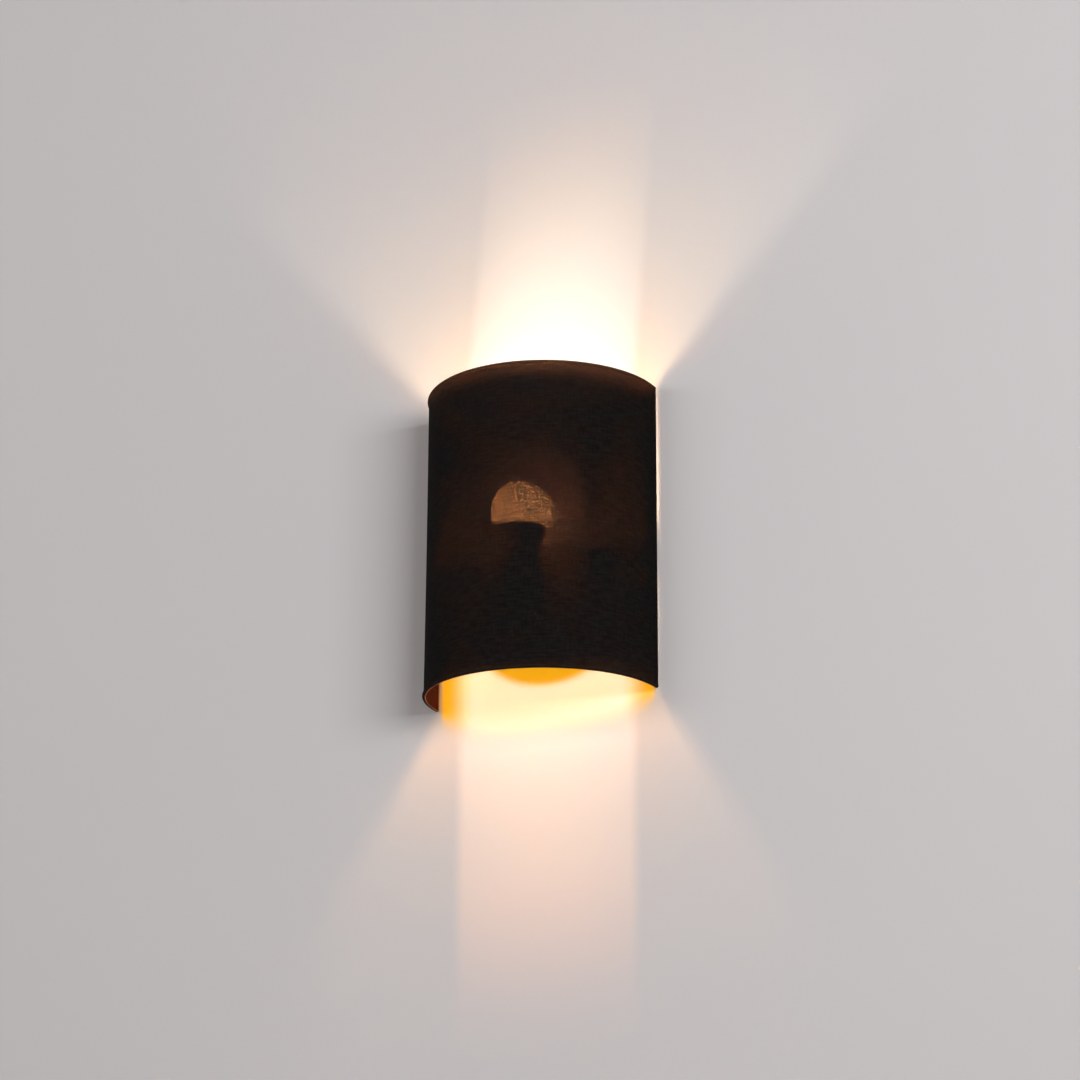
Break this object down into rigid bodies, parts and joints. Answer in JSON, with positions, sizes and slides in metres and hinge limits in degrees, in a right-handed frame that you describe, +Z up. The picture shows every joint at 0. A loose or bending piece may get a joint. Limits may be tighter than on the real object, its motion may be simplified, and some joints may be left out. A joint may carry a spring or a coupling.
{
  "type": "fabric shade wall light",
  "caption": "Half-round wall light: black cloth shade with gold lining, open above and below, on a flat box with an upright screw-base bulb.",
  "frame": {"origin": "middle of the box's back face, on the wall", "axes": "+Z up, +Y into the wall, +X to the right as the light is faced"},
  "size_m": [0.2326, 0.1213, 0.302],
  "materials": {
    "zinc_steel": "zinc-plated steel",
    "white_paint": "satin off-white powder coat",
    "white_wire": "white powder-coated wire",
    "black_rubber": "black rubber",
    "pale_nylon": "natural nylon",
    "brass": "bare brass",
    "tinned_copper": "tinned copper",
    "brown_insulation": "brown lead insulation",
    "blue_insulation": "blue lead insulation",
    "green_yellow_insulation": "green and yellow lead insulation",
    "black_thermoset": "black moulded thermoset",
    "steatite": "steatite ceramic",
    "frosted_diffuser": "frosted diffuser, lit warm white",
    "bulb_base_plastic": "white bulb base",
    "led_board_white": "white masked aluminium board",
    "led_phosphor": "yellow phosphor",
    "circuit_board": "green circuit board",
    "nickel_plate": "nickel-plated brass",
    "black_glass": "dark vitrite glass",
    "black_cloth": "black woven cloth",
    "gold_film": "gold reflective film on stiff lining"
  },
  "bodies": {
    "wall_box": {"wall_plate": "zinc_steel", "box_cover": "white_paint", "cover_screws": "zinc_steel", "cable_bush": "black_rubber", "weld_nuts": "zinc_steel", "terminal_block": "pale_nylon", "terminal_tubes": "brass", "terminal_screws": "zinc_steel", "block_screws": "zinc_steel", "earth_stud": "zinc_steel", "earth_lug": "tinned_copper", "earth_washer": "zinc_steel", "earth_nut": "zinc_steel", "live_lead": "brown_insulation", "neutral_lead": "blue_insulation", "earth_lead": "green_yellow_insulation", "lead_bush": "black_rubber", "holder_arm": "white_paint", "arm_screws": "zinc_steel", "arm_nuts": "zinc_steel", "nipple": "zinc_steel", "nipple_nut": "zinc_steel", "holder_cap": "black_thermoset", "holder_skirt": "black_thermoset", "holder_insert": "steatite", "holder_shell": "brass", "centre_contact": "brass", "holder_terminals": "brass", "holder_terminal_screws": "zinc_steel"},
    "shade": {"shade_cloth": "black_cloth", "shade_liner": "gold_film", "top_rim_wire": "white_wire", "bottom_rim_wire": "white_wire", "left_end_wire": "white_wire", "right_end_wire": "white_wire", "left_arm": "white_paint", "right_arm": "white_paint"},
    "left_washer": {"left_washer": "brass"},
    "left_screw": {"left_thumb_screw": "brass"},
    "right_washer": {"right_washer": "brass"},
    "right_screw": {"right_thumb_screw": "brass"},
    "bulb_tip": {"bulb_tip": "brass"},
    "bulb": {"bulb_dome": "frosted_diffuser", "bulb_base": "bulb_base_plastic", "led_board": "led_board_white", "led_chips": "led_phosphor", "driver_board": "circuit_board", "bulb_cap": "nickel_plate", "bulb_insulator": "black_glass"}
  },
  "joints": [
    {"name": "shade_pull", "type": "slide", "parent": "wall_box", "child": "shade", "axis": [0, -1, 0], "range_m": [0, 0.15]},
    {"name": "left_screw_travel", "type": "slide", "parent": "wall_box", "child": "left_washer", "axis": [-1, 0, 0], "range_m": [0, 0.0049]},
    {"name": "left_screw_turn", "type": "hinge", "parent": "left_washer", "child": "left_screw", "pos_m": [-0.05, -0.0125, 0], "axis": [-1, 0, 0], "range_deg": [0, 2520]},
    {"name": "right_screw_travel", "type": "slide", "parent": "wall_box", "child": "right_washer", "axis": [1, 0, 0], "range_m": [0, 0.0049]},
    {"name": "right_screw_turn", "type": "hinge", "parent": "right_washer", "child": "right_screw", "pos_m": [0.05, -0.0125, 0], "axis": [1, 0, 0], "range_deg": [0, 2520]},
    {"name": "bulb_lift", "type": "slide", "parent": "wall_box", "child": "bulb_tip", "axis": [0, 0, 1], "range_m": [0, 0.01815]},
    {"name": "bulb_turn", "type": "hinge", "parent": "bulb_tip", "child": "bulb", "pos_m": [0, -0.06, -0.055], "axis": [0, 0, 1], "range_deg": [0, 1800]}
  ],
  "couplings": [
    {"joint": "left_screw_travel", "follows": "left_screw_turn", "m_per_rad": 0.00011141},
    {"joint": "right_screw_travel", "follows": "right_screw_turn", "m_per_rad": 0.00011141},
    {"joint": "bulb_lift", "follows": "bulb_turn", "m_per_rad": 0.00057757}
  ]
}
